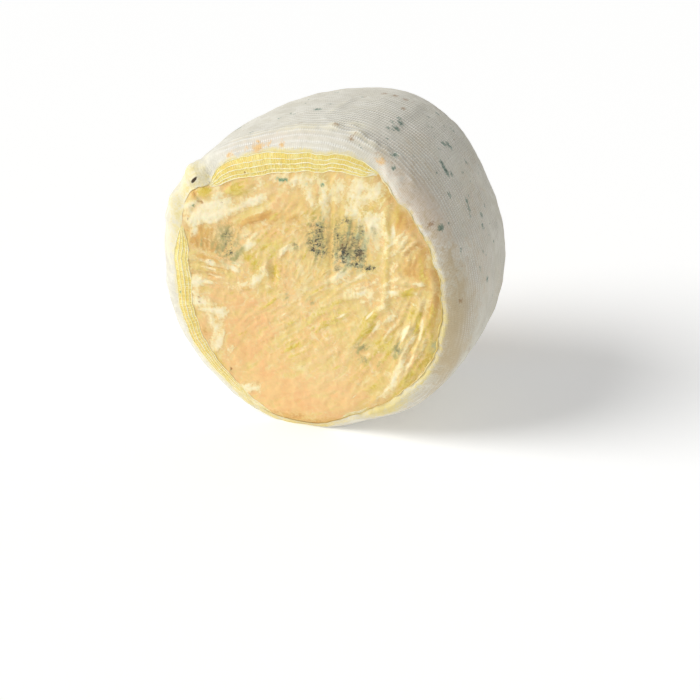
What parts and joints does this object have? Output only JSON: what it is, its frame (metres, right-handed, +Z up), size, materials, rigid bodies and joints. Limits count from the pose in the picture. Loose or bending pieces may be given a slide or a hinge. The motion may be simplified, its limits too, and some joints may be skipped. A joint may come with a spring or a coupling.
{
  "type": "creamy sheep cheese",
  "caption": "Small drum of creamy soft sheep cheese with a mottled yellow rind, wrapped round its side in mould-flecked white gauze, standing on its rim.",
  "frame": {"origin": "on the resting surface, below the middle of the drum's bounding box", "axes": "+Z up, +Y along the drum's axis from its shown face to its back face, +X to the right as seen facing the shown face"},
  "size_m": [0.1184, 0.0775, 0.1154],
  "materials": {
    "rind": "moist creamy rind, peach to straw yellow, with pale cream, olive and blue-grey mould patches; satin, lightly wrinkled",
    "gauze": "white cotton gauze with fine ribs running round the drum, stained yellow at its open-weave hem, with blue-green flecks of mould; matt"
  },
  "bodies": {
    "root": {"cheese_wheel": "rind", "cloth_band": "gauze"}
  },
  "joints": []
}
